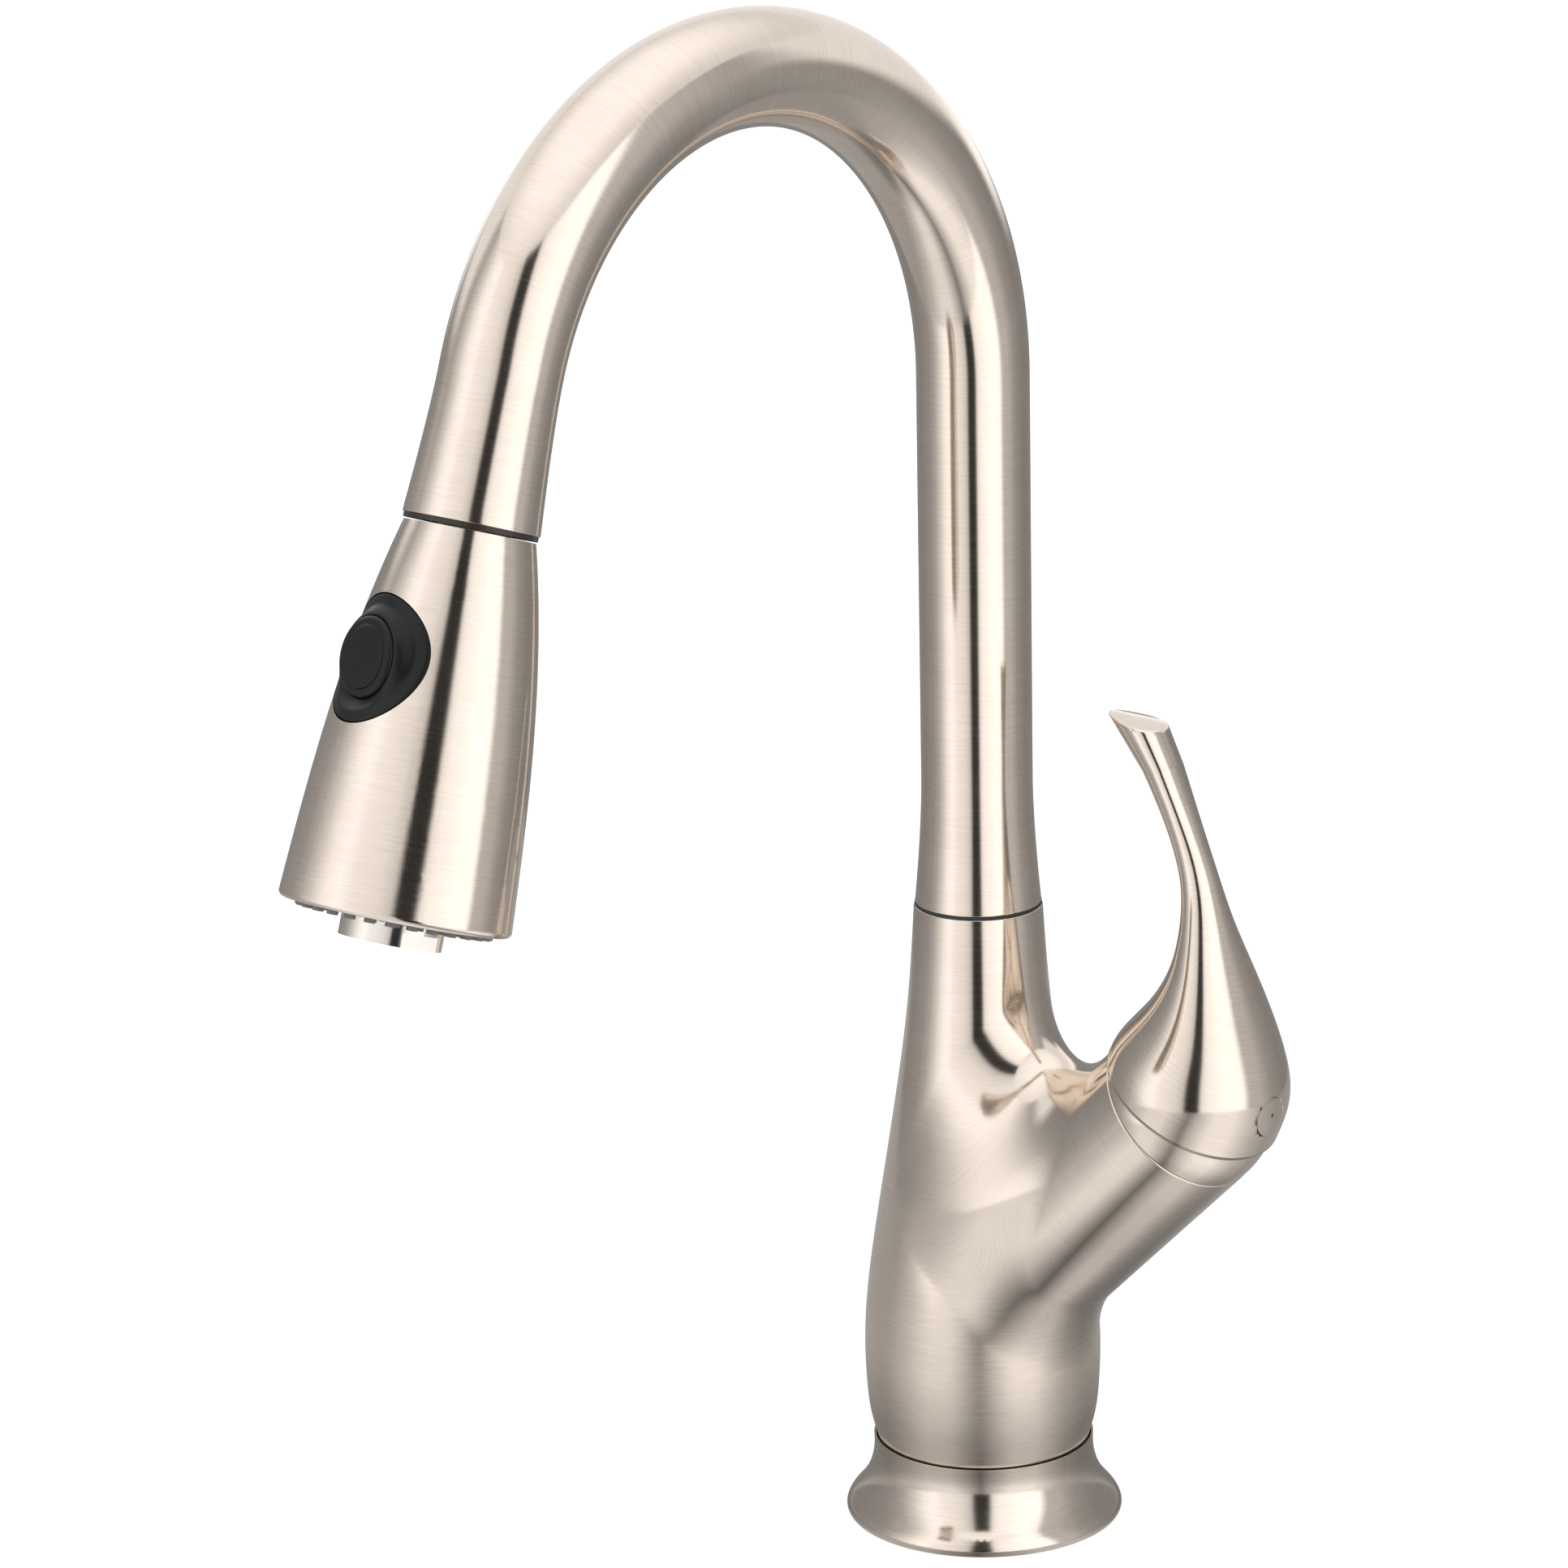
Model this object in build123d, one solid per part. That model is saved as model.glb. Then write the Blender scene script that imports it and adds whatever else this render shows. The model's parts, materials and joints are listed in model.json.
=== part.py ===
"""Single-lever pull-down kitchen faucet, in millimetres, +Z up.

The origin is the centre of the deck plane under the column.  The spout reaches toward -Y and
the handle sits on a branch toward +X.
"""
from build123d import *
from math import cos, radians, sin
import os

os.makedirs("parts", exist_ok=True)

# ---- driving dimensions -------------------------------------------------------------------
RUN = 0.05                       # radial clearance of a running fit

DECK_GAP = 30.0                  # counter thickness left between flange and washer
SHANK_R, SHANK_BORE, SHANK_FOOT = 16.0, 13.0, -62.0
FLANGE_R, FLANGE_RIM_R, FLANGE_H = 36.0, 28.65, 20.9
BODY_FOOT_Z, BODY_FOOT_R = 3.0, 27.0
BODY_PROFILE = [(27.4, 20.1), (29.4, 27.4), (30.3, 35.4), (30.65, 45.4), (30.1, 57.4), (28.15, 73.4),
                (25.3, 91.4), (22.1, 111.4), (18.65, 136.4), (16.43, 165.15)]
BODY_WALL = 4.0
SEAM_Z = 165.15                  # where the spout turns on the body
SWIVEL_BORE, SWIVEL_FLOOR = 14.4, 122.0

BRANCH_Z, BRANCH_EL = 59.16, 44.46
BRANCH_R, BRANCH_LEN, WEB_R = 22.57, 91.3, 13.5
VALVE_BORE, VALVE_FLOOR = 18.0, 52.0
PIVOT_S = 92.8                   # lever pivot, measured along the branch axis
CLOSED_TILT = 14.4               # lean of the closed lever from the branch axis
DOME_R = 22.5                    # bonnet under the handle
BALL_R, BALL_UP = 23.5, 5.95     # round bulb of the handle and its height over the pivot
SKIRT_DROP = 1.6                 # skirt plane under the centre of the bulb
STEM_SIDE, STEM_TOP, ARM_LEN = 8.0, 21.0, 16.0

TUBE_R, TUBE_BORE = 14.15, 12.9
ARC_Z, ARC_R, ARC_TURN, LEG = 302.0, 86.0, 161.2, 34.5
FOOT_R, FOOT_FLARE, END_R, END_FLARE = 16.15, 32.0, 15.84, 32.0
GUIDE_R, GUIDE_BORE, GUIDE_LEN, DOCK_RING_H = 13.1, 11.2, 22.0, 2.0
HOSE_R, HOSE_BORE, HOSE_X = 6.0, 4.0, -6.5
HEAD_HOSE_TOP = 33.0             # where the pull-out stretch starts, above the dock
SUPPLY_R, SUPPLY_BORE, SUPPLY_END_R, SUPPLY_END_LEN = 4.5, 3.6, 4.76, 20.0

HEAD_TOP, HEAD_LEN, RIM_Z, RIM_R = 2.4, 91.0, 89.6, 25.3
HEAD_PROFILE = [(15.2, 2.4), (19.76, 22.9), (23.16, 45.4), (25.32, 68.0), (26.75, 89.6)]
HEAD_WALL = 1.6
HEAD_TURN = 9.5                  # how far the button is turned from facing straight out
BUTTON_Z, PANEL_R, BUTTON_R, BUTTON_TOP = 34.6, 14.8, 9.4, 22.6
AERATOR_R, AERATOR_BORE, AERATOR_END = 11.9, 9.8, 96.9
FLAT_R, FLAT_LEN = 10.8, 3.3     # spanner flats on the aerator
PLATE_Z, NOZZLE_END, NOZZLE_R, NOZZLE_BORE = 84.0, 92.2, 1.3, 0.5
NOZZLE_RINGS = ((28, 21.4), (20, 17.2))

# ---- frames -------------------------------------------------------------------------------
el = radians(BRANCH_EL)
AXIS = Vector(cos(el), 0, sin(el))
BRANCH = Plane(origin=(0, 0, BRANCH_Z), x_dir=(0, 1, 0), z_dir=AXIS)
PIVOT = Vector(0, 0, BRANCH_Z) + AXIS * PIVOT_S
tilt = radians(BRANCH_EL + CLOSED_TILT)
LEVER = Vector(cos(tilt), 0, sin(tilt))
LEVER_FRAME = Plane(origin=PIVOT, x_dir=(0, 1, 0), z_dir=LEVER)
BALL = PIVOT + LEVER * BALL_UP
turn = radians(ARC_TURN)
DOWN = Vector(0, -sin(turn), cos(turn))
ARC_END = Vector(0, -ARC_R + ARC_R * cos(turn), ARC_Z + ARC_R * sin(turn))
DOCK = ARC_END + DOWN * LEG
OUTWARD = Vector(0, cos(turn), sin(turn))
swing = radians(HEAD_TURN)
HEAD = Plane(origin=DOCK, x_dir=Vector(cos(swing), 0, 0) + OUTWARD * sin(swing), z_dir=DOWN)


def save(shape, name):
    export_step(shape, f"parts/{name}.step")


def tube(outer, inner, low, high):
    """Round sleeve about Z between two heights."""
    ring = Cylinder(outer, high - low, align=(Align.CENTER, Align.CENTER, Align.MIN))
    if inner > 0:
        ring -= Cylinder(inner, high - low, align=(Align.CENTER, Align.CENTER, Align.MIN))
    return Pos(0, 0, low) * ring


def turned(edge, axis_low=None, axis_high=None):
    """Solid of revolution about Z under a smooth edge of (radius, height) points.

    Its seam lies on the -X side, clear of the branch.
    """
    low = edge[0][1] if axis_low is None else axis_low
    high = edge[-1][1] if axis_high is None else axis_high
    with BuildSketch(Plane.XZ) as face:
        with BuildLine():
            Spline([(-r, z) for r, z in edge])
            Polyline([(-edge[-1][0], edge[-1][1]), (0, high), (0, low), (-edge[0][0], edge[0][1])])
        make_face()
    return revolve(face.sketch, Axis.Z)


def placed(frame, shape):
    return frame.location * shape


def ring(radius, section, z):
    """O-ring: a torus about Z."""
    return Pos(0, 0, z) * Torus(radius, section)


def spread(shape, count, radius, start=0.0):
    """The same piece repeated on a circle about Z, as separate solids."""
    return [Rot(0, 0, start + 360 * i / count) * Pos(radius, 0, 0) * shape for i in range(count)]


def group(frame, shapes):
    """Separate solids of one node, each put in its place."""
    return Compound(children=[placed(frame, shape) for shape in shapes])


def pipe(path, outer, inner):
    start = Plane(origin=path @ 0, z_dir=path % 0)
    return sweep(start * Circle(outer), path) - sweep(start * Circle(inner), path)


# ---- base and deck mounting ---------------------------------------------------------------
def base_flange():
    """Escutcheon: near-upright lip, hollow flare and a small rolled foot."""
    with BuildSketch(Plane.XZ) as face:
        with BuildLine():
            Spline([(FLANGE_RIM_R, FLANGE_H), (28.9, 15.0), (30.9, 9.0), (33.6, 5.2), (35.6, 2.6),
                    (FLANGE_R, 1.0), (FLANGE_R - 0.5, 0.0)])
            Polyline([(FLANGE_R - 0.5, 0), (33.4, 0), (33.4, 2.0), (29.4, 2.0), (29.4, 0), (27.6, 0),
                      (27.6, 16.0), (28.15, 18.0), (28.15, FLANGE_H), (FLANGE_RIM_R, FLANGE_H)])
        make_face()
    return revolve(face.sketch, Axis.Z)


def deck_gasket():
    return tube(33.3, 29.5, 0.0, 1.9)


def mounting_shank():
    """Threaded pipe that hangs through the counter."""
    return tube(SHANK_R, SHANK_BORE, SHANK_FOOT, 15.0)


def rubber_washer():
    return tube(27.0, SHANK_R + 0.1, -DECK_GAP - 3.0, -DECK_GAP)


def steel_washer():
    return tube(28.5, SHANK_R + 0.1, -DECK_GAP - 5.0, -DECK_GAP - 3.0)


def mounting_nut():
    """Flanged nut with six flats and two tapped bosses for the thrust screws."""
    top = -DECK_GAP - 5.0
    hexagon = extrude(Plane.XY.offset(top - 12) * RegularPolygon(24.5, 6), 12)
    nut = hexagon - tube(SHANK_R + 0.1, 0, top - 12, top)
    for hole in spread(tube(2.5, 0, top - 12, top), 2, 20.2, 30):
        nut -= hole
    return nut


def nut_screws():
    top = -DECK_GAP - 5.0
    screw = tube(2.45, 0, top - 20, top) + tube(4.2, 0, top - 24, top - 20)
    screw -= Pos(0, 0, top - 24) * Box(6.5, 1.2, 2.4)
    return group(Plane.XY, spread(screw, 2, 20.2, 30))


# ---- body ---------------------------------------------------------------------------------
def column(offset=0.0, low=None, high=None):
    """The bellied column, grown or shrunk by `offset`, between two heights."""
    edge = [(r + offset, z) for r, z in BODY_PROFILE]
    if low is not None:
        edge = [p for p in edge if low < p[1] < high]
    return turned(edge)


def branch_rod(radius, low, high):
    return placed(BRANCH, tube(radius, 0, low, high))


def body():
    """Hollow casting: column, branch and the soft web between them."""
    shell = column() + branch_rod(BRANCH_R, 5.0, BRANCH_LEN)
    joint = [e for e in shell.edges() if e.geom_type == GeomType.BSPLINE and e.center().X > 8]
    shell = shell.fillet(WEB_R, joint)
    foot = tube(BODY_FOOT_R, 0, BODY_FOOT_Z, BODY_PROFILE[0][1])
    shell += foot
    shell -= tube(SHANK_R, 0, BODY_FOOT_Z, 15.0) + tube(14.5, 0, 14.0, SWIVEL_FLOOR)
    shell -= column(-BODY_WALL, 20.0, 120.0)
    shell -= branch_rod(BRANCH_R - BODY_WALL - 3.0, 12.0, VALVE_FLOOR)
    shell -= branch_rod(VALVE_BORE, VALVE_FLOOR, BRANCH_LEN)
    shell -= branch_rod(18.7, 82.0, BRANCH_LEN) + branch_rod(20.6, 86.0, BRANCH_LEN)
    shell -= tube(SWIVEL_BORE, 0, SWIVEL_FLOOR, SEAM_Z)
    shell -= tube(15.0, 0, 149.0, 151.0)
    return shell


def body_o_ring():
    return ring(27.35 - 0.05, 0.28, 12.0)


# ---- valve in the branch ------------------------------------------------------------------
# Each tube's place in the shank, its lift off the branch axis at the seat, and its foot.
SUPPLY = {"cold_supply_tube": (2.2, -7.7, 3.5, -110.0), "hot_supply_tube": (2.2, 7.7, 3.5, -110.0),
          "outlet_tube": (8.0, 0.0, -7.5, -86.0)}


def supply_tube(name):
    """Copper tube from under the deck, up the shank and along the branch to the valve seat."""
    x, y, lift, foot = SUPPLY[name]
    bend = BRANCH_Z + (lift + x * sin(el)) / cos(el)
    corner = Vector(x, y, bend)
    along = (VALVE_FLOOR - (corner - Vector(0, 0, BRANCH_Z)).dot(AXIS))
    path = FilletPolyline((x, y, foot), tuple(corner), tuple(corner + AXIS * along), radius=18.0)
    end = Pos(x, y, 0) * tube(SUPPLY_END_R, SUPPLY_BORE, foot, foot + SUPPLY_END_LEN)
    return pipe(path, SUPPLY_R, SUPPLY_BORE) + end


def valve_seat():
    """Brass plate that feeds the cartridge: three ports in line with the tubes."""
    seat = tube(VALVE_BORE - 0.05, 0, VALVE_FLOOR, 58.0)
    for x, y, lift, foot in SUPPLY.values():
        seat -= Pos(y, lift, 0) * tube(3.0, 0, VALVE_FLOOR, 58.0)
    return placed(BRANCH, seat)


def cartridge_seals():
    """Three rubber rings between the seat and the cartridge."""
    seals = [Pos(y, lift, 0) * tube(3.9, 3.0, 58.0, 59.0) for x, y, lift, foot in SUPPLY.values()]
    return group(BRANCH, seals)


def cartridge_housing():
    housing = tube(17.5, 0, 59.0, 82.0) + tube(13.5, 0, 82.0, 98.0)
    housing -= tube(15.5, 0, 62.0, 80.0) + tube(11.45, 0, 80.0, 98.0)
    for x, y, lift, foot in SUPPLY.values():
        housing -= Pos(y, lift, 0) * tube(2.6, 0, 59.0, 62.0)
    return placed(BRANCH, housing)


def fixed_disc():
    disc = tube(15.4, 0, 62.0, 66.0)
    for x, y, lift, foot in SUPPLY.values():
        disc -= Pos(y, lift, 0) * tube(2.6, 0, 62.0, 66.0)
    return placed(BRANCH, disc)


# In the branch frame +Y points up and inward, so the closed lever pushes the disc the other way.
DISC_SHIFT = -ARM_LEN * sin(radians(CLOSED_TILT))


def moving_disc():
    disc = Pos(0, DISC_SHIFT, 0) * (tube(11.0, 0, 66.0, 70.0) - tube(6.0, 0, 66.0, 68.0))
    return placed(BRANCH, disc)


def disc_carrier():
    carrier = Pos(0, DISC_SHIFT, 0) * (tube(10.8, 0, 70.0, 77.4) - tube(3.4, 0, 72.5, 77.4))
    return placed(BRANCH, carrier)


def cartridge_rotor():
    """Turns in the cartridge neck and carries the lever pin; slotted for the lever."""
    rotor = tube(11.4, 0, 78.2, 97.5)
    rotor -= Pos(0, 0, 78.2) * Box(8.4, 15.4, 19.3, align=(Align.CENTER, Align.CENTER, Align.MIN))
    rotor -= Pos(0, 0, PIVOT_S) * Rot(0, 90, 0) * Cylinder(2.0, 30.0)
    return placed(BRANCH, rotor)


def stem_pin():
    return placed(BRANCH, Pos(0, 0, PIVOT_S) * Rot(0, 90, 0) * Cylinder(2.0, 20.0))


def cartridge_stem():
    """Square lever post with a ball-ended arm that pushes the disc carrier."""
    post = Pos(0, 0, -3.4) * Box(STEM_SIDE, STEM_SIDE, STEM_TOP + 3.4,
                                 align=(Align.CENTER, Align.CENTER, Align.MIN))
    arm = tube(2.2, 0, -ARM_LEN, -3.4) + Pos(0, 0, -ARM_LEN) * Sphere(3.0)
    stem = post + arm - Rot(0, 90, 0) * Cylinder(2.0 + RUN, 20.0)
    return placed(LEVER_FRAME, stem)


def bonnet_nut():
    nut = tube(18.65, 13.7, 82.0, 90.0)
    for notch in spread(Pos(0, 0, 88.0) * Box(4.0, 4.0, 4.1), 6, 18.0):
        nut -= notch
    return placed(BRANCH, nut)


def dome_collar():
    """Domed cap round the cartridge that the skirt of the handle glides over."""
    dome = Pos(0, 0, PIVOT_S) * (Sphere(DOME_R) - Sphere(DOME_R - 1.8))
    dome -= tube(DOME_R + 1, 0, PIVOT_S - DOME_R - 1, BRANCH_LEN)
    dome -= tube(14.0, 0, PIVOT_S, PIVOT_S + DOME_R + 1)
    return placed(BRANCH, dome + tube(20.55, 19.0, 86.2, 92.5) + tube(21.3, 19.0, BRANCH_LEN, 93.0))


# ---- handle -------------------------------------------------------------------------------
# Inner and outer edge of the lever in its plane of symmetry, from the bulb to the tip: x, z, x, z.
LEVER_SECTIONS = [(50.4, 143.4, 91.6, 122.8), (58.6, 152.4, 92.2, 134.9), (64.4, 162.0, 88.7, 147.2),
                  (66.3, 169.9, 84.1, 159.6), (66.5, 177.2, 79.4, 171.6), (65.1, 184.7, 74.7, 184.7),
                  (60.5, 196.1, 69.4, 197.6), (53.5, 208.7, 63.5, 211.2), (42.6, 224.0, 54.6, 228.0)]
TIP = Vector(42.6, 0, 222.3)     # nose of the lever
TIP_FALL = 8.5                   # slope of the flat on the tip
PLUG_R, PLUG_DEPTH, PLUG_FALL = 5.0, 2.0, 7.1
SCREW_R, SCREW_MEETS, SCREW_FALL = 2.5, 13.0, 24.5


def lever_blank():
    """Loft through round sections from the bulb to the tip."""
    faces = []
    for xi, zi, xo, zo in LEVER_SECTIONS:
        inner, outer = Vector(xi, 0, zi), Vector(xo, 0, zo)
        across = outer - inner
        plane = Plane(origin=(inner + outer) * 0.5, x_dir=across, z_dir=across.cross(Vector(0, 1, 0)) * -1)
        faces.append(plane * Circle(across.length / 2))
    return loft(faces)


def screw_frame():
    fall = radians(SCREW_FALL)
    return Plane(origin=PIVOT + LEVER * SCREW_MEETS, z_dir=(cos(fall), 0, -sin(fall)))


def plug_frame():
    fall = radians(PLUG_FALL)
    out = Vector(cos(fall), 0, -sin(fall))
    return Plane(origin=BALL + out * BALL_R, z_dir=out)


def handle():
    shape = Pos(*BALL) * Sphere(BALL_R) + lever_blank()
    tip = radians(TIP_FALL)
    above = Plane(origin=TIP, x_dir=(cos(tip), 0, -sin(tip)), z_dir=(sin(tip), 0, cos(tip)))
    shape -= placed(above, Box(80, 80, 30, align=(Align.CENTER, Align.CENTER, Align.MIN)))
    skirt = BALL_UP - SKIRT_DROP
    below = Box(90, 90, 60, align=(Align.CENTER, Align.CENTER, Align.MAX))
    shape -= placed(LEVER_FRAME, Pos(0, 0, skirt) * below)
    cavity = placed(LEVER_FRAME, Pos(0, 0, 3.0) * Sphere(22.57))
    boss = placed(LEVER_FRAME, tube(7.5, 0, 9.0, STEM_TOP + 8.0))
    shape = shape - cavity + boss
    side = STEM_SIDE + 0.1
    socket = Pos(0, 0, 8.0) * Box(side, side, STEM_TOP - 7.9, align=(Align.CENTER, Align.CENTER, Align.MIN))
    shape -= placed(LEVER_FRAME, socket)
    shape -= placed(screw_frame(), tube(SCREW_R, 0, 0, 30))
    shape -= placed(plug_frame(), tube(PLUG_R + 0.1, 0, -PLUG_DEPTH, 8))
    return shape


def handle_set_screw():
    screw = tube(SCREW_R - 0.02, 0, 4.4, 9.5) - Pos(0, 0, 9.5) * extrude(RegularPolygon(1.4, 6), -3)
    return placed(screw_frame(), screw)


def index_plug():
    """Cap over the set screw, crowned like the bulb, with a small prise hole."""
    cap = tube(PLUG_R, 0, -PLUG_DEPTH, 2.0)
    crown = Pos(0, 0, -BALL_R) * Sphere(BALL_R)
    cap = (cap & crown) - Pos(0.6, 0, 0) * tube(0.45, 0, -1.2, 3)
    return placed(plug_frame(), cap)


# ---- spout --------------------------------------------------------------------------------
def bend(radius):
    face = Pos(0, 0, ARC_Z) * Circle(radius)
    return revolve(face, Axis((0, -ARC_R, ARC_Z), (1, 0, 0)), revolution_arc=ARC_TURN)


def spout_solid(radius, low, short=0.0):
    rise = tube(radius, 0, low, ARC_Z)
    leg = placed(Plane(origin=ARC_END, x_dir=(1, 0, 0), z_dir=DOWN), tube(radius, 0, 0, LEG - short))
    return rise + bend(radius) + leg


def flare(small, large, length, power, top):
    """Outer cone that widens from the tube to its end, with the narrow end up or down."""
    steps = 6
    edge = [(small + (large - small) * (i / steps) ** power, i * length / steps) for i in range(steps + 1)]
    if top:
        edge = [(r, length - z) for r, z in edge][::-1]
    return turned(edge)


def spout_tube():
    """Gooseneck: flared foot on the swivel, flared mouth round the dock."""
    tube_solid = spout_solid(TUBE_R, SEAM_Z)
    tube_solid += Pos(0, 0, SEAM_Z) * flare(TUBE_R, FOOT_R, FOOT_FLARE, 1.6, True)
    tube_solid += placed(HEAD, Pos(0, 0, -END_FLARE) * flare(TUBE_R, END_R, END_FLARE, 1.5, False))
    tube_solid -= spout_solid(TUBE_BORE, SEAM_Z)
    tube_solid -= placed(HEAD, tube(GUIDE_R + 0.05, 0, -GUIDE_LEN, 0))
    return tube_solid


def spout_hub():
    """Brass sleeve on the foot of the spout that turns in the body."""
    hub = tube(SWIVEL_BORE - 1.05, 0, 124.0, SEAM_Z) + tube(TUBE_BORE - 0.05, 0, SEAM_Z, SEAM_Z + 16)
    hub -= tube(10.0, 0, 124.0, SEAM_Z + 16)
    hub -= tube(16.0, 12.5, 139.0, 141.2)
    hub -= tube(16.0, 12.4, 149.1, 150.9)
    return hub


def swivel_bushes():
    bush = tube(SWIVEL_BORE, SWIVEL_BORE - 1.0, 0, 7.0)
    return group(Plane.XY, [Pos(0, 0, z) * bush for z in (125.0, 156.0)])


def spout_friction_ring():
    return ring(13.42, 0.9, 140.1)


def spout_retaining_ring():
    """Split ring that locks the hub down in the body's groove."""
    clip = tube(14.9, 12.5, 149.3, 150.7) - Pos(0, 16, 150) * Box(6, 14, 4)
    return clip


def dock_ring():
    return placed(HEAD, tube(15.5, GUIDE_BORE, 0, DOCK_RING_H))


def dock_guide():
    return placed(HEAD, tube(GUIDE_R, GUIDE_BORE, -GUIDE_LEN, 0))


# ---- hose ---------------------------------------------------------------------------------
def riser_hose():
    """Stretch of the spray hose inside the shank and the body."""
    path = FilletPolyline((HOSE_X, 0, -64.0), (HOSE_X, 0, 78.0), (0, 0, 106.0), (0, 0, 123.0), radius=60.0)
    return pipe(path, HOSE_R, HOSE_BORE)


def spout_hose():
    """Stretch of the spray hose inside the gooseneck."""
    cover = HEAD_HOSE_TOP
    return spout_solid(HOSE_R, 123.5, cover) - spout_solid(HOSE_BORE, 123.5, cover)


def pullout_hose():
    """Last stretch, which follows the spray head out of the dock."""
    return placed(HEAD, tube(HOSE_R, HOSE_BORE, -HEAD_HOSE_TOP + 0.3, -16.0))


def hose_connector():
    """Brass end fitting under the deck, where the hose meets the outlet."""
    fitting = tube(6.2, 0, -84.0, -64.0) + Pos(0, 0, -79.0) * extrude(RegularPolygon(6.7, 6), 9.0)
    return Pos(HOSE_X, 0, 0) * (fitting - tube(HOSE_BORE, 0, -84.0, -64.0))


# ---- spray head ---------------------------------------------------------------------------
def head_blank(offset=0.0):
    return turned([(r + offset, z) for r, z in HEAD_PROFILE])


def across(shape):
    """Turns a piece made about Z onto the button's axis, facing outward."""
    return Pos(0, 0, BUTTON_Z) * Rot(-90, 0, 0) * shape


def head_shell():
    """Bell of the spray head with a rolled rim and the round opening for the panel."""
    bell = head_blank() + tube(RIM_R + 0.3, 0, RIM_Z, HEAD_LEN) + ring(RIM_R, 1.45, RIM_Z)
    bell -= head_blank(-HEAD_WALL)
    bell -= tube(24.45, 0, RIM_Z - 2.5, HEAD_LEN + 1)
    bell += tube(14.4, 9.4, HEAD_TOP, HEAD_TOP + 2.0)
    bell -= across(tube(PANEL_R + 0.3, 0, 8.0, 30.0))
    return placed(HEAD, bell)


def button_panel():
    """Round black cover, flush with the bell, with the button's well."""
    skin = head_blank(-0.05) - head_blank(-2.4)
    panel = skin & across(tube(PANEL_R, 0, 8.0, 30.0))
    panel += head_blank(-2.4) & across(tube(BUTTON_R + 2.0, 0, 13.0, 30.0))
    panel -= across(tube(BUTTON_R + 0.2, 0, 14.4, 30.0) + tube(3.2, 0, 12.0, 30.0))
    return placed(HEAD, panel)


def button():
    """Soft disc that stands proud of the panel, with its stem."""
    cap = tube(BUTTON_R, 0, 18.0, BUTTON_TOP)
    cap = fillet(cap.faces().sort_by(Axis.Z)[-1].edges(), 1.6) - tube(7.2, 3.2, 18.0, 21.5)
    stem = tube(3.0, 0, 13.6, 19.0)
    return placed(HEAD, across(cap + stem))


def button_spring():
    """Return spring round the button's stem."""
    coil = Helix(1.3, 3.2, 5.2)
    wire = sweep(Plane(origin=coil @ 0, z_dir=coil % 0) * Circle(0.3), coil)
    return placed(HEAD, across(Pos(0, 0, 14.9) * wire))


def head_waterway():
    """Inner body: neck, diverter chamber and the flange behind the face."""
    way = tube(9.3, 0, HEAD_TOP - 14.0, 20.0) + tube(10.9, 0, -15.0, 1.5) + tube(11.5, 0, 16.0, 66.0)
    way += tube(15.0, 0, 62.0, 66.0) + tube(23.2, 0, 66.0, 70.0) + tube(23.2, 21.8, 70.0, 76.0)
    way -= tube(7.6, 0, -15.0, 2.0) + tube(5.2, 0, 2.0, 20.0) + tube(8.6, 0, 44.0, 70.0)
    way -= tube(3.0, 0, 20.0, 44.0)
    way -= across(tube(4.6, 0, -8.6, 12.0))
    return placed(HEAD, way)


def hose_end_nut():
    """Threaded ferrule that ties the hose to the neck of the head."""
    return placed(HEAD, tube(7.55, 0, -16.0, 0.0) - tube(HOSE_BORE, 0, -16.0, 0.0))


def check_valve():
    """Non-return cartridge in the neck."""
    valve = tube(5.15, 2.6, 3.0, 17.0)
    return placed(HEAD, valve + tube(1.4, 0, 4.0, 16.0) + Pos(0, 0, 6) * Box(8, 1.0, 2))


def diverter_spool():
    """Rocker spool behind the button that picks stream or spray."""
    spool = tube(2.2, 0, -5.6, 13.6) + tube(4.5, 0, -5.6, -3.6) + tube(4.5, 0, 0.5, 3.0)
    spool += tube(4.5, 0, 9.0, 11.4)
    return placed(HEAD, across(spool))


def spool_rings():
    return group(HEAD, [across(tube(4.58, 2.25, z, z + 1.0)) for z in (-3.5, 3.1, 7.9)])


def nozzle_mat():
    """Rubber ring whose nozzles stand through the face plate."""
    base = PLATE_Z - 0.1
    mat = tube(23.4, 13.2, base - 1.8, base)
    for count, radius in NOZZLE_RINGS:
        mat += spread(tube(NOZZLE_R, 0, base, NOZZLE_END), count, radius)
        mat -= spread(tube(NOZZLE_BORE, 0, base - 2, NOZZLE_END + 1), count, radius)
    return placed(HEAD, mat)


def face_plate():
    """Dished ring between the rim and the aerator, drilled for the nozzles."""
    plate = tube(24.3, AERATOR_R + 0.6, PLATE_Z, HEAD_LEN - 0.6) + tube(24.0, 23.45, 77.0, PLATE_Z)
    for count, radius in NOZZLE_RINGS:
        plate -= spread(tube(NOZZLE_R + 0.1, 0, PLATE_Z - 1, HEAD_LEN), count, radius)
    return placed(HEAD, plate)


def aerator_housing():
    """Chrome sleeve with two spanner flats."""
    sleeve = tube(AERATOR_R, AERATOR_BORE, 72.0, AERATOR_END) + tube(8.5, 7.0, 66.0, 72.5)
    sleeve += tube(10.4, 7.0, 71.0, 72.5)
    for side in (-1, 1):
        sleeve -= Pos(side * (FLAT_R + 5), 0, AERATOR_END) * Box(10, 30, 2 * FLAT_LEN)
    return placed(HEAD, sleeve)


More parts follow.
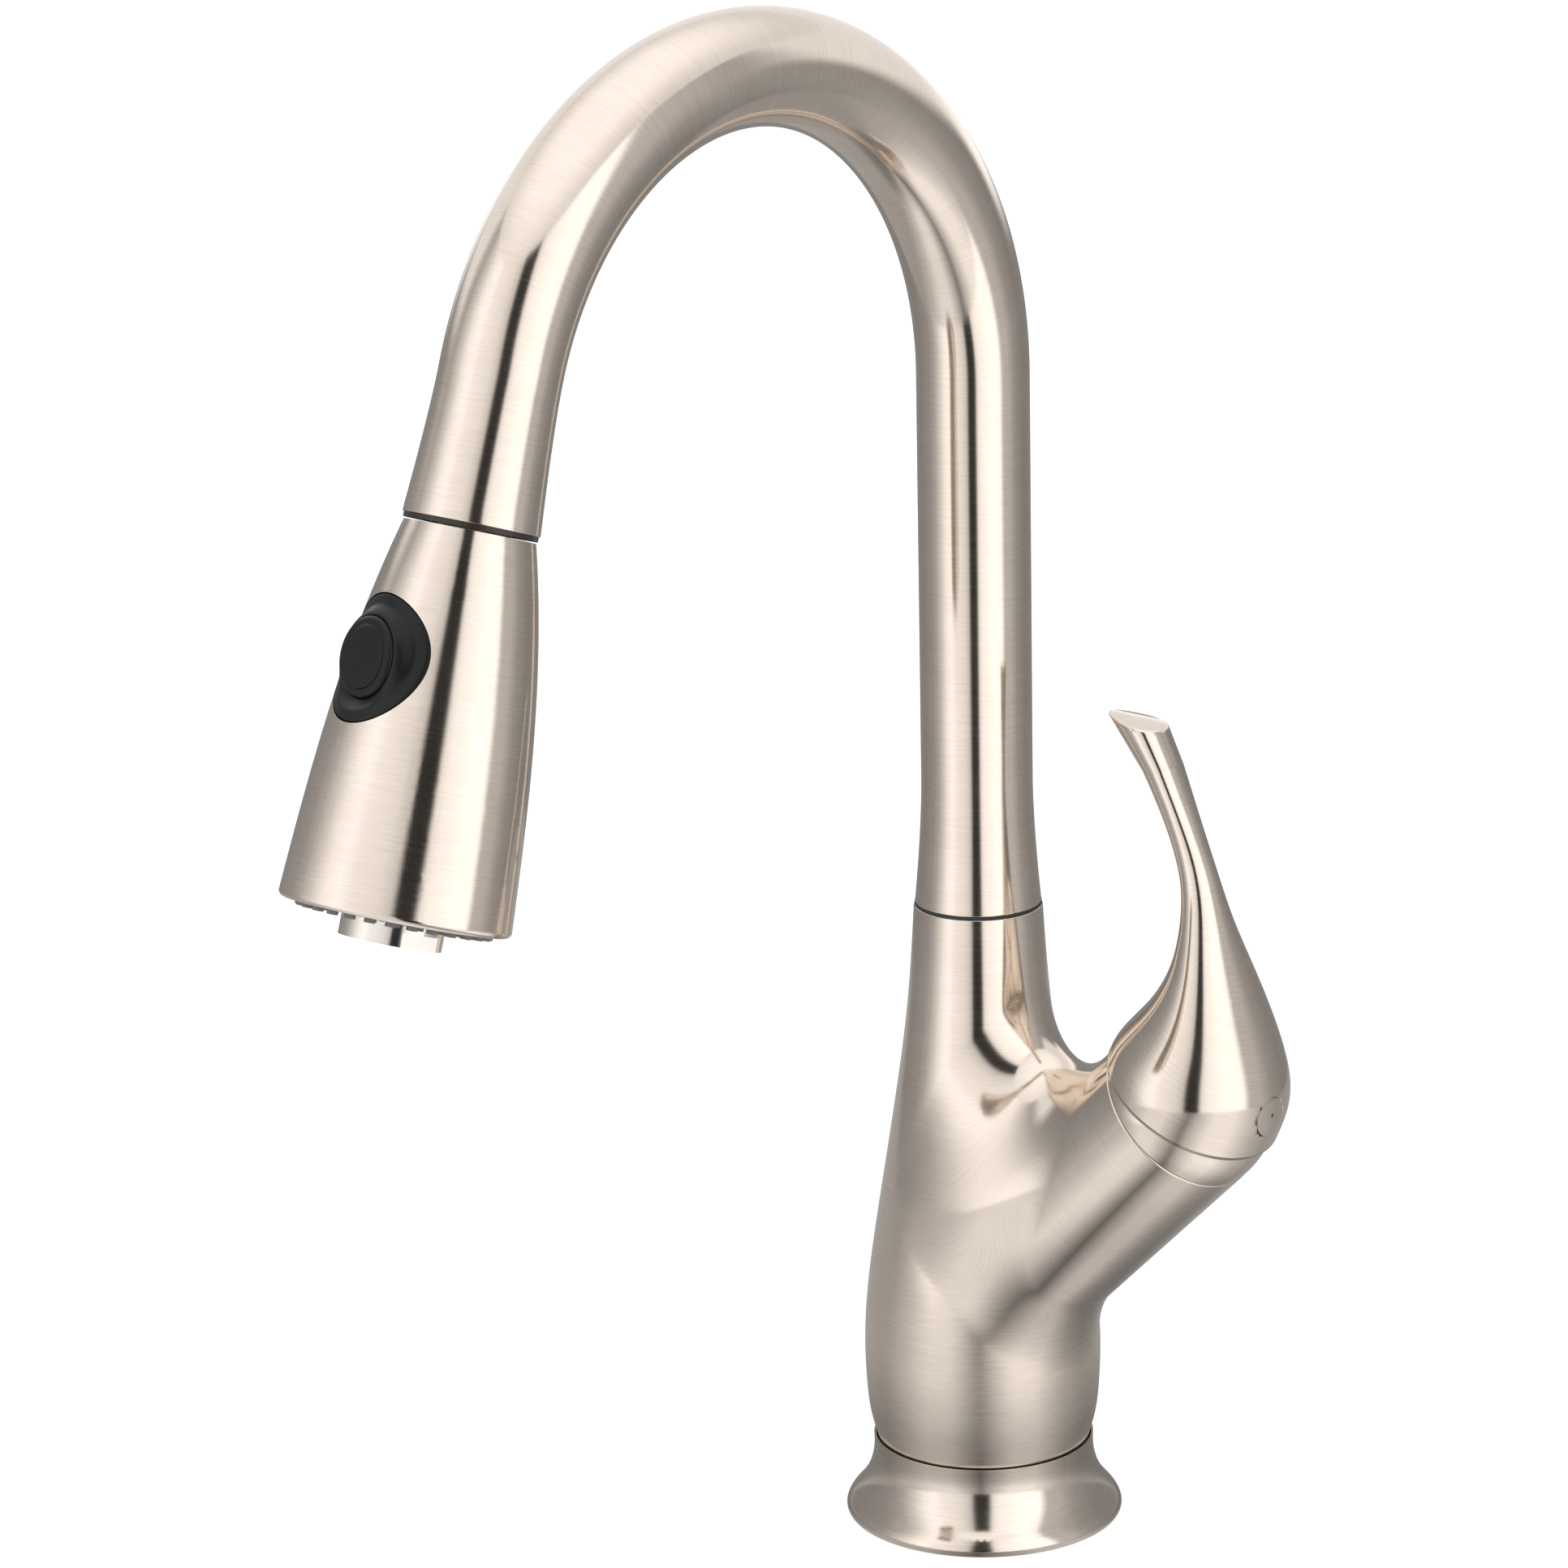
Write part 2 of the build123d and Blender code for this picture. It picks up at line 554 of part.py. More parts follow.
def aerator_insert():
    """Stream former: two grids in a plastic cage."""
    cage = tube(AERATOR_BORE - 0.1, 8.8, 80.0, 95.4)
    for z in (82.0, 94.0):
        grid = tube(8.9, 0, z, z + 1.2)
        for row in range(-4, 5):
            for column_x in range(-4, 5):
                if row * row + column_x * column_x <= 13:
                    grid -= Pos(row * 2.0, column_x * 2.0, z + 0.6) * Box(1.4, 1.4, 2.0)
        cage += grid
    return placed(HEAD, cage)


def face_seal():
    """Rubber ring between the waterway and the face plate's cup."""
    return placed(HEAD, tube(21.75, 20.4, 70.05, 78.0))


MAKERS = [
    base_flange, deck_gasket, mounting_shank, rubber_washer, steel_washer, mounting_nut, nut_screws,
    body, body_o_ring, valve_seat, cartridge_seals, cartridge_housing, fixed_disc, moving_disc,
    disc_carrier, cartridge_rotor, stem_pin, cartridge_stem, bonnet_nut, dome_collar, handle,
    handle_set_screw, index_plug, spout_tube, spout_hub, swivel_bushes, spout_friction_ring,
    spout_retaining_ring, dock_ring, dock_guide, riser_hose, spout_hose, pullout_hose,
    hose_connector, head_shell, button_panel, button, button_spring, head_waterway, hose_end_nut,
    check_valve, diverter_spool, spool_rings, nozzle_mat, face_plate, aerator_housing,
    aerator_insert, face_seal,
]

if __name__ == "__main__":
    print("pivot", PIVOT, "bulb", BALL, "dock", DOCK, "down", DOWN, "lever", LEVER)
    for name in SUPPLY:
        save(supply_tube(name), name)
    for maker in MAKERS:
        save(maker(), maker.__name__)
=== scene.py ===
import json
from math import radians

import bmesh
import bpy
import numpy as np
from mathutils import Matrix, Vector


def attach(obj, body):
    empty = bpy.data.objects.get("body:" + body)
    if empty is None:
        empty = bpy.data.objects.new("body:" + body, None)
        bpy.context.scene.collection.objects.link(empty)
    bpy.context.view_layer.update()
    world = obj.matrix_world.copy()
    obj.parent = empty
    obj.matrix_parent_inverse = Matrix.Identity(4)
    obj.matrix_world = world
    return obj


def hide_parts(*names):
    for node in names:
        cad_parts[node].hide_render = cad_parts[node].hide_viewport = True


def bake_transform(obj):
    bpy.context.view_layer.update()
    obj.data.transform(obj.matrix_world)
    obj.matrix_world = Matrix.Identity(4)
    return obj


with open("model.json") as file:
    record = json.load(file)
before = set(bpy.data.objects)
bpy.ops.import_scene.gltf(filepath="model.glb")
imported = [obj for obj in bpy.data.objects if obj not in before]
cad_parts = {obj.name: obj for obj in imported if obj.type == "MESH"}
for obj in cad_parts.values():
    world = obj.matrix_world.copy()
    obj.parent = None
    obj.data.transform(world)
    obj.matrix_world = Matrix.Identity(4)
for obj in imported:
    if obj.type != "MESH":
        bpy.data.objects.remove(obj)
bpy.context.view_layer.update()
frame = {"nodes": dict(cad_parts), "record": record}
nodes = frame["nodes"]
mm = 0.001

# shader graphs


class Val:
    # one value in a shader graph; the usual operators add Math nodes
    def __init__(self, graph, socket):
        self.graph, self.socket = graph, socket

    def __add__(self, other):
        return self.graph.math("ADD", self, other)

    def __sub__(self, other):
        return self.graph.math("SUBTRACT", self, other)

    def __mul__(self, other):
        return self.graph.math("MULTIPLY", self, other)

    def __truediv__(self, other):
        return self.graph.math("DIVIDE", self, other)

    def __rsub__(self, other):
        return self.graph.math("SUBTRACT", other, self)

    __radd__, __rmul__ = __add__, __mul__

    def output(self, name):
        return Val(self.graph, self.socket.node.outputs[name])


class Graph:
    # wraps a node tree: `make` adds any node, settings first and sockets second
    def __init__(self, tree):
        self.tree = tree

    def make(self, kind, settings=None, sockets=None, out=0):
        node = self.tree.nodes.new(kind)
        for key, value in (settings or {}).items():
            if key == "stops":
                ramp = node.color_ramp.elements
                while len(ramp) < len(value):
                    ramp.new(0.5)
                for element, (place, shade) in zip(ramp, value):
                    element.position, element.color = place, (*shade, 1.0)
            else:
                setattr(node, key, value)
        for key, value in (sockets or {}).items():
            if isinstance(value, Val):
                self.tree.links.new(value.socket, node.inputs[key])
            else:
                node.inputs[key].default_value = value
        return Val(self, node.outputs[out]) if len(node.outputs) else node

    def math(self, operation, a, b=0.0):
        return self.make("ShaderNodeMath", {"operation": operation}, {0: a, 1: b})

    def smooth(self, value, low, high):
        # 0 below low, 1 above high, eased between
        return self.make("ShaderNodeMapRange", {"interpolation_type": "SMOOTHSTEP"},
                         {"Value": value, "From Min": low, "From Max": high})

    def place(self):
        return self.make("ShaderNodeTexCoord").output("Object")

    def dot(self, vector, axis):
        node = self.make("ShaderNodeVectorMath", {"operation": "DOT_PRODUCT"}, {0: vector, 1: axis})
        return node.output("Value")

    def join(self, x, y, z):
        return self.make("ShaderNodeCombineXYZ", {}, {0: x, 1: y, 2: z})

    def noise(self, vector, scale, detail=2.0, rough=0.5):
        return self.make("ShaderNodeTexNoise", {}, {"Vector": vector, "Scale": scale,
                                                    "Detail": detail, "Roughness": rough})

    def mix(self, factor, a, b):
        return self.make("ShaderNodeMix", {"data_type": "RGBA"}, {0: factor, 6: a, 7: b}, out=2)

    def bump(self, height, strength, distance):
        return self.make("ShaderNodeBump", {}, {"Height": height, "Strength": strength,
                                                "Distance": distance})


def newMaterial(name):
    material = bpy.data.materials.new(name)
    material.use_nodes = True
    material.node_tree.nodes.clear()
    return material, Graph(material.node_tree)


def finishMaterial(graph, sockets):
    shader = graph.make("ShaderNodeBsdfPrincipled", {}, sockets)
    graph.make("ShaderNodeOutputMaterial", {}, {"Surface": shader})


# viewing angle

camera = {"place": (0.85613, -1.04723, 0.57018), "aim": (0, 0, 0.2014), "lens": 127.1,
          "turn": 1.9969, "nod": -0.1888, "roll": -0.5918}


def makeCamera():
    eye = bpy.data.cameras.new("camera")
    eye.lens, eye.sensor_width = camera["lens"], 36.0
    rig = bpy.data.objects.new("camera", eye)
    bpy.context.scene.collection.objects.link(rig)
    place = Vector(camera["place"])
    look = (Vector(camera["aim"]) - place).to_track_quat("-Z", "Y").to_matrix()
    for angle, axis in (("turn", "Y"), ("nod", "X"), ("roll", "Z")):
        look = look @ Matrix.Rotation(radians(camera[angle]), 3, axis)
    rig.matrix_world = Matrix.Translation(place) @ look.to_4x4()
    bpy.context.scene.camera = rig


# light

# The tent is a round wall seen only in reflections. Its glow is listed round the faucet: degrees
# from the front, positive to the right, and brightness. The front has a dark slit. Pairs give
# where something begins and is complete, in metres: by height, by distance from the middle, or
# by distance behind it.
studio = {"front": -50.7, "tentRadius": 0.55, "tentFoot": -0.32, "tentTop": 0.74, "fill": 1.05,
          "ceiling": 1.35, "under": 0.55, "gap": 0.90, "floorSize": 8.0, "brightest": 1.6,
          "slitFoot": (-0.06, 0.02), "dimFoot": (0.06, 0.15), "backGlow": 1.0, "high": 0.98, "sides": 96,
          "highBehind": (-0.05, 0.12), "highHeight": (0.36, 0.50), "backBehind": (0.30, 0.45),
          "backHeight": (0.28, 0.36),
          "glow": [(-180, 0.27), (-128, 0.28), (-97, 0.37), (-84, 0.50), (-72, 0.80), (-61, 1.20),
                   (-50, 1.38), (-41, 1.18), (-31, 1.10), (-22, 1.00), (-13, 0.75), (-9, 0.03), (4, 0.03),
                   (8, 1.10), (15, 1.30), (38, 1.55), (55, 1.50), (62, 0.62), (76, 0.58), (92, 0.38),
                   (116, 0.28), (143, 0.27), (180, 0.27)],
          "lowGlow": [(-180, 0.44), (-97, 0.42), (-72, 0.64), (-50, 0.98), (-30, 0.98), (-15, 0.60),
                      (-3, 0.25), (6, 0.60), (25, 1.15), (45, 1.15), (58, 0.85), (75, 0.55), (100, 0.38),
                      (180, 0.40)]}


def makeWorld():
    # overhead and underfoot glow for reflections, an even white for everything else
    world = bpy.data.worlds.new("studio")
    world.use_nodes = True
    world.node_tree.nodes.clear()
    bpy.context.scene.world = world
    g = Graph(world.node_tree)
    height = g.dot(g.make("ShaderNodeTexCoord"), (0, 0, 1))
    up = g.smooth(height, 0.55, 0.98)
    down = g.smooth(0 - height, 0.45, 0.75)
    glow = (studio["gap"] + up * (studio["ceiling"] - studio["gap"])
            + down * (studio["under"] - studio["gap"]))
    glossy = g.make("ShaderNodeLightPath").output("Is Glossy Ray")
    strength = glossy * glow + (1 - glossy) * studio["fill"]
    sky = g.make("ShaderNodeBackground", {}, {"Color": (1, 1, 1, 1), "Strength": strength})
    g.make("ShaderNodeOutputWorld", {}, {"Surface": sky})


def frontward(g, spot):
    # how far the lit point stands toward the front, and how far to the right of it
    front = radians(studio["front"])
    return g.dot(spot, (np.cos(front), np.sin(front), 0)), g.dot(spot, (-np.sin(front), np.cos(front), 0))


def glowRamp(g, spot, table):
    # the listed glow by the azimuth of the lit point
    toward, right = frontward(g, spot)
    angle = g.math("ARCTAN2", right, toward) / (2 * np.pi) + 0.5
    stops = [((a + 180) / 360, (b / studio["brightest"],) * 3) for a, b in studio[table]]
    return g.make("ShaderNodeValToRGB", {"stops": stops}, {0: angle})


def setUp(name, verts, faces, material):
    # a piece of the studio, not of the faucet
    mesh = bpy.data.meshes.new(name)
    mesh.from_pydata(verts, [], faces)
    mesh.materials.append(material)
    item = bpy.data.objects.new(name, mesh)
    bpy.context.scene.collection.objects.link(item)
    return item


def onlyReflected(item):
    item.visible_camera = item.visible_diffuse = item.visible_shadow = item.visible_transmission = False


def tentRim():
    turnBy = np.linspace(0, 2 * np.pi, studio["sides"], endpoint=False)
    return np.stack([np.cos(turnBy), np.sin(turnBy)], -1) * studio["tentRadius"]


def makeTent():
    # glow by azimuth, softer below the table's height and brighter high up behind the faucet
    material, g = newMaterial("tent_glow")
    spot = g.place()
    toward, _ = frontward(g, spot)
    height = g.dot(spot, (0, 0, 1))
    top = studio["brightest"]
    aboveTable = g.smooth(height, *studio["slitFoot"])
    shade = g.mix(aboveTable, glowRamp(g, spot, "lowGlow"), glowRamp(g, spot, "glow"))
    high = g.smooth(0 - toward, *studio["highBehind"]) * g.smooth(height, *studio["highHeight"])
    shade = g.mix(high, shade, (studio["high"] / top,) * 3 + (1,))
    behind = g.smooth(0 - toward, *studio["backBehind"]) * g.smooth(height, *studio["backHeight"])
    behind = behind * (1 - high)
    glow = g.make("ShaderNodeEmission", {}, {"Color": shade, "Strength": top})
    extra = g.make("ShaderNodeEmission", {}, {"Color": (1, 1, 1, 1), "Strength": behind * studio["backGlow"]})
    glow = g.make("ShaderNodeAddShader", {}, {0: glow, 1: extra})
    g.make("ShaderNodeOutputMaterial", {}, {"Surface": glow})
    rim, sides = tentRim(), studio["sides"]
    verts = [(x, y, z) for z in (studio["tentFoot"], studio["tentTop"]) for x, y in rim]
    faces = [(i, (i + 1) % sides, sides + (i + 1) % sides, sides + i) for i in range(sides)]
    onlyReflected(setUp("light_tent", verts, faces, material))


def makeFloor():
    # what the eye sees: a pale floor that glows a little, so that it stays white round the foot
    material, g = newMaterial("pale_floor")
    finishMaterial(g, {"Base Color": (0.6, 0.6, 0.6, 1), "Roughness": 0.9,
                       "Emission Color": (1, 1, 1, 1), "Emission Strength": 0.6})
    half = studio["floorSize"] / 2
    corners = [(-half, -half, 0), (half, -half, 0), (half, half, 0), (-half, half, 0)]
    setUp("floor", corners, [(0, 1, 2, 3)], material).visible_glossy = False


def makeTable():
    # what the metal sees of the floor: dim near the foot, then the low glow of the tent
    material, g = newMaterial("table_glow")
    spot = g.place()
    shade = glowRamp(g, spot, "lowGlow")
    split = g.make("ShaderNodeSeparateXYZ", {}, {0: spot})
    x, y = split.output("X"), split.output("Y")
    away = g.math("SQRT", x * x + y * y)
    dim = studio["under"] + g.smooth(away, *studio["dimFoot"]) * (1 - studio["under"])
    glow = g.make("ShaderNodeEmission", {}, {"Color": shade, "Strength": dim * studio["brightest"]})
    g.make("ShaderNodeOutputMaterial", {}, {"Surface": glow})
    verts = [(x, y, -mm) for x, y in tentRim()]
    onlyReflected(setUp("table_glow", verts, [tuple(range(studio["sides"]))], material))


# finishes, by material slot

nickel = {"tint": (0.80, 0.705, 0.62), "worn": (0.72, 0.63, 0.545), "roughness": 0.12, "spread": 0.07,
          "line": 0.34 * mm, "lineLength": 9 * mm, "blotch": 14 * mm, "bump": 0.05,
          "footRough": 0.16, "footHeight": (30 * mm, 95 * mm), "blotchSpread": 0.05}


def brushedNickel(name, axis=None, roughness=None):
    # fine lines across `axis`, or across the piece's own "along" attribute
    material, g = newMaterial(name)
    spot = g.place()
    split = g.make("ShaderNodeSeparateXYZ", {}, {0: spot})
    if axis is None:
        along = g.make("ShaderNodeAttribute", {"attribute_name": "along"}).output("Fac")
    else:
        along = g.dot(spot, axis)
    slow = 1 / nickel["lineLength"]
    lines = g.noise(g.join(split.output("X") * slow, split.output("Y") * slow, along / nickel["line"]),
                    1.0, 3.0, 0.6)
    blotches = g.noise(spot, 1 / nickel["blotch"], 2.0)
    # the casting is blasted rather than polished toward its foot
    low = 1 - g.smooth(split.output("Z"), *nickel["footHeight"])
    foot = low * (nickel["footRough"] if axis is None else 0)
    uneven = (lines - 0.5) * nickel["spread"] + (blotches - 0.5) * nickel["blotchSpread"]
    rough = (roughness or nickel["roughness"]) + uneven + foot
    tone = g.smooth(lines * 0.7 + blotches * 0.3, 0.3, 0.7)
    tint = g.mix(tone, (*nickel["worn"], 1), (*nickel["tint"], 1))
    finishMaterial(g, {"Base Color": tint, "Metallic": 1.0, "Roughness": rough,
                       "Normal": g.bump(lines, nickel["bump"], 0.02 * mm)})
    return material


def mottled(name, tint, roughness, metallic=0.0, grain=1.5 * mm, depth=0.15, vary=0.12, shine=0.5):
    # moulded, turned or drawn finish: slight mottling of colour and gloss, and a fine relief
    material, g = newMaterial(name)
    speck = g.noise(g.place(), 1 / grain, 3.0)
    cloud = g.noise(g.place(), 0.12 / grain, 2.0)
    dark = tuple(c * (1 - vary) for c in tint)
    shade = g.mix(g.smooth(cloud * 0.6 + speck * 0.4, 0.3, 0.7), (*dark, 1), (*tint, 1))
    finishMaterial(g, {"Base Color": shade, "Metallic": metallic, "Specular IOR Level": shine,
                       "Roughness": roughness + (speck - 0.5) * 0.12,
                       "Normal": g.bump(speck, depth, 0.03 * mm)})
    return material


branchAxis = (0.71375, 0, 0.7004)
headDown = (0, -0.32227, -0.94665)
finishes = {
    "brushed_nickel": brushedNickel("brushed_nickel", (0, 0, 1)),
    "chrome": mottled("chrome", (0.76, 0.71, 0.66), 0.10, 1.0, 3 * mm, 0.02, 0.03),
    "brass": mottled("brass", (0.78, 0.60, 0.32), 0.24, 1.0, 1.2 * mm),
    "copper": mottled("copper", (0.78, 0.42, 0.27), 0.22, 1.0, 2 * mm, 0.1, 0.2),
    "stainless": mottled("stainless", (0.64, 0.63, 0.62), 0.26, 1.0),
    "black_plastic": mottled("black_plastic", (0.005, 0.005, 0.006), 0.34, 0.0, 0.5 * mm, 0.2, shine=0.28),
    "dark_ring": mottled("dark_ring", (0.02, 0.013, 0.010), 0.30, 0.0, 0.6 * mm),
    "button_black": mottled("button_black", (0.005, 0.005, 0.006), 0.34, 0.0, 0.35 * mm, 0.25, shine=0.25),
    "white_plastic": mottled("white_plastic", (0.80, 0.79, 0.76), 0.40),
    "grey_rubber": mottled("grey_rubber", (0.16, 0.155, 0.15), 0.48, 0.0, 0.5 * mm, 0.3),
    "grey_plastic": mottled("grey_plastic", (0.33, 0.32, 0.31), 0.35, 0.0, 0.5 * mm),
    "black_rubber": mottled("black_rubber", (0.02, 0.02, 0.02), 0.60, 0.0, 0.5 * mm, 0.35),
    "ceramic": mottled("ceramic", (0.88, 0.86, 0.82), 0.12, 0.0, 3 * mm, 0.03, 0.04),
    "hose_braid": mottled("hose_braid", (0.10, 0.10, 0.105), 0.50, 0.0, 0.4 * mm, 0.4, 0.4),
}
bodyNickel = brushedNickel("body_nickel")
headNickel = brushedNickel("head_nickel", headDown, 0.10)
collarNickel = brushedNickel("collar_nickel", branchAxis)
flangeNickel = brushedNickel("flange_nickel", (0, 0, 1), 0.12)


def dressFrame():
    slotOf = {part["node"]: part["material_slot"] for part in frame["record"]["subparts"]}
    special = {"head_shell": headNickel, "dome_collar": collarNickel, "base_flange": flangeNickel}
    for name, item in nodes.items():
        for place in item.material_slots:
            place.material = special.get(name, finishes[slotOf[name]])


# mesh helpers


def addPiece(name, mesh, material):
    mesh.materials.clear()
    mesh.materials.append(material)
    piece = bpy.data.objects.new(name, mesh)
    bpy.context.scene.collection.objects.link(piece)
    return piece


def gridSkin(name, points, along=None, loop=False):
    # points: rows by columns by xyz. Columns wrap round. Rows wrap with `loop`; otherwise the
    # first and last rows are closed with a fan to their middle.
    rows, cols = points.shape[:2]
    last = rows if loop else rows - 1
    r, c = np.meshgrid(np.arange(last), np.arange(cols), indexing="ij")
    r2, c2 = (r + 1) % rows, (c + 1) % cols
    quads = np.stack([r * cols + c, r * cols + c2, r2 * cols + c2, r2 * cols + c], -1).reshape(-1, 4)
    verts = points.reshape(-1, 3)
    value = np.zeros(len(verts)) if along is None else np.repeat(along, cols)
    faces = quads.tolist()
    if not loop:
        for row in (0, rows - 1):
            hub = len(verts)
            verts = np.vstack([verts, points[row].mean(0)])
            value = np.append(value, value[row * cols])
            faces += [(row * cols + i, row * cols + (i + 1) % cols, hub) for i in range(cols)]
    mesh = bpy.data.meshes.new(name)
    mesh.from_pydata(verts.tolist(), [], faces)
    work = bmesh.new()
    work.from_mesh(mesh)
    bmesh.ops.recalc_face_normals(work, faces=work.faces)
    work.to_mesh(mesh)
    work.free()
    mesh.polygons.foreach_set("use_smooth", np.ones(len(mesh.polygons), dtype=bool))
    mesh.attributes.new("along", "FLOAT", "POINT").data.foreach_set("value", value.astype(np.float32))
    return mesh


def ease(t):
    t = np.clip(t, 0, 1)
    return t * t * (3 - 2 * t)


def curveThrough(knots, count):
    # natural cubic through the knots at even chord steps, sampled `count` times
    knots = np.asarray(knots, float)
    n = len(knots)
    t = np.concatenate([[0], np.cumsum(np.linalg.norm(np.diff(knots[:, :3], axis=0), axis=1))])
    h = np.diff(t)
    a = np.eye(n)
    b = np.zeros_like(knots)
    for i in range(1, n - 1):
        a[i, i - 1:i + 2] = h[i - 1], 2 * (h[i - 1] + h[i]), h[i]
        b[i] = 6 * ((knots[i + 1] - knots[i]) / h[i] - (knots[i] - knots[i - 1]) / h[i - 1])
    m = np.linalg.solve(a, b)
    s = np.linspace(0, t[-1], count)
    i = np.clip(np.searchsorted(t, s, side="right") - 1, 0, n - 2)
    u, v = (t[i + 1] - s)[:, None], (s - t[i])[:, None]
    w = h[i][:, None]
    return (m[i] * u ** 3 + m[i + 1] * v ** 3) / (6 * w) + (knots[i] / w - m[i] * w / 6) * u \
        + (knots[i + 1] / w - m[i + 1] * w / 6) * v


def cornered(corners, steps=6):
    # outline through (a, b, radius) corners: each corner becomes a smooth bend of that radius
    pts = np.array([c[:2] for c in corners], float)
    out = []
    for i, corner in enumerate(corners):
        p, reach = pts[i], corner[2]
        if reach == 0 or i in (0, len(corners) - 1):
            out.append(p)
            continue
        back, ahead = pts[i - 1] - p, pts[i + 1] - p
        back, ahead = back / np.linalg.norm(back), ahead / np.linalg.norm(ahead)
        for extra in (2.2, 1.4):
            out.append(p + back * reach * extra)
        for t in np.linspace(0, 1, steps):
            bend = (1 - t) ** 2 * (p + back * reach) + 2 * t * (1 - t) * p
            out.append(bend + t * t * (p + ahead * reach))
        for extra in (1.4, 2.2):
            out.append(p + ahead * reach * extra)
    return np.array(out)


def lathe(name, outline, origin, axis, side, sides=96, loop=False):
    # turns an outline of (radius, height) about an axis; heights are the "along" values
    origin, axis, side = (np.array(v, float) for v in (origin, axis, side))
    other = np.cross(axis, side)
    turnBy = np.linspace(0, 2 * np.pi, sides, endpoint=False)[None, :, None]
    r, z = outline[:, 0][:, None, None], outline[:, 1][:, None, None]
    points = origin + axis * z + (side * np.cos(turnBy) + other * np.sin(turnBy)) * r
    return gridSkin(name, points, outline[:, 1], loop)


# the body: column, branch and the web between them

column = [(27.4, 20.1), (29.4, 27.4), (30.3, 35.4), (30.65, 45.4), (30.1, 57.4), (28.15, 73.4),
          (25.3, 91.4), (22.1, 111.4), (18.65, 136.4), (16.43, 165.15)]    # radius and height, mm
bodyShape = {"foot": 12.0, "seam": 164.8, "branchStart": (0, 0, 59.16), "branchRadius": 22.57,
             "branchFrom": 12.0, "branchEnd": 91.0, "webUnder": 12.0, "webOver": 26.0, "webFace": 3.0,
             "lip": 0.45, "voxel": 1.25, "throughBore": 14.45, "valveBore": 18.0, "valveDepth": 37.0,
             "steps": 4}
columnCurve = curveThrough([(h, r, 0) for r, h in column], 400)


def columnRadius(z):
    return np.interp(z, columnCurve[:, 0], columnCurve[:, 1])


def bodyDistance(p):
    # Signed distance in mm to the column joined to the branch by a rolling web: where both are
    # nearer than the web radius, radius minus the length of the two shortfalls taken as legs.
    s = bodyShape
    start, axis = np.array(s["branchStart"]), np.array(branchAxis)
    slope = columnRadius(p[:, 2] + 0.5) - columnRadius(p[:, 2] - 0.5)
    a = (np.hypot(p[:, 0], p[:, 1]) - columnRadius(p[:, 2])) / np.sqrt(1 + slope ** 2)
    run = np.maximum((p - start) @ axis, s["branchFrom"])
    b = np.linalg.norm(p - start - run[:, None] * axis, axis=1) - s["branchRadius"]
    above = (p - start) @ np.array([-axis[2], 0, axis[0]])
    web = s["webUnder"] + (s["webOver"] - s["webUnder"]) * ease((above + 20) / 32)
    # the two skins blend only where they face different ways
    outward = p[:, :2] / np.maximum(np.hypot(p[:, 0], p[:, 1]), 1e-6)[:, None]
    rodward = (p - start - run[:, None] * axis)[:, :2] / np.maximum(b + s["branchRadius"], 1e-6)[:, None]
    apart = 1 - (outward * rodward).sum(1)
    web = 2 + (web - 2) * (1 - np.exp(-s["webFace"] * (apart + apart ** 2)))
    legs = np.hypot(np.maximum(web - a, 0), np.maximum(web - b, 0))
    return np.maximum(web, np.minimum(a, b)) - legs


def bodySlope(p, step=0.02):
    parts = [bodyDistance(p + step * e) - bodyDistance(p - step * e) for e in np.eye(3)]
    return np.stack(parts, -1) / (2 * step)


def readVerts(mesh):
    flat = np.empty(len(mesh.vertices) * 3, np.float32)
    mesh.vertices.foreach_get("co", flat)
    return flat.reshape(-1, 3).astype(float)


def bareMesh(mesh, kind, **settings):
    # the mesh after one modifier
    holder = bpy.data.objects.new("holder", mesh)
    bpy.context.scene.collection.objects.link(holder)
    modifier = holder.modifiers.new(kind, kind)
    for key, value in settings.items():
        setattr(modifier, key, value)
    shown = holder.evaluated_get(bpy.context.evaluated_depsgraph_get())
    result = bpy.data.meshes.new_from_object(shown)
    bpy.data.objects.remove(holder)
    return result


def closeEnd(work, centre, axis, bore, depth):
    # a cut end gets a small round edge, a flat lip and the wall of its bore; returns the last loop
    centre, axis = np.array(centre) * mm, np.array(axis, float)
    inPlane = {v for v in work.verts if abs((np.array(v.co) - centre) @ axis) < 0.01 * mm}
    edges = [e for e in work.edges if e.is_boundary and e.verts[0] in inPlane and e.verts[1] in inPlane]
    lip = bodyShape["lip"]
    bend = [(lip * (1 - np.cos(t)), lip * np.sin(t))
            for t in np.linspace(0, np.pi / 2, bodyShape["steps"])]
    moves = [("in", b[0] - a[0], b[1] - a[1]) for a, b in zip(bend, bend[1:])]
    moves += [("to", bore + 0.25, 0), ("to", bore, -0.25), ("to", bore, -1.0), ("to", bore, 1.0 - depth)]
    for kind, radius, rise in moves:
        made = bmesh.ops.extrude_edge_only(work, edges=edges)["geom"]
        edges = [g for g in made if isinstance(g, bmesh.types.BMEdge)]
        for v in (g for g in made if isinstance(g, bmesh.types.BMVert)):
            offset = np.array(v.co) - centre
            lift = offset @ axis
            flat = offset - axis * lift
            length = np.linalg.norm(flat)
            target = radius * mm if kind == "to" else length - radius * mm
            v.co = Vector(centre + flat * (target / length) + axis * (lift + rise * mm))
    return edges


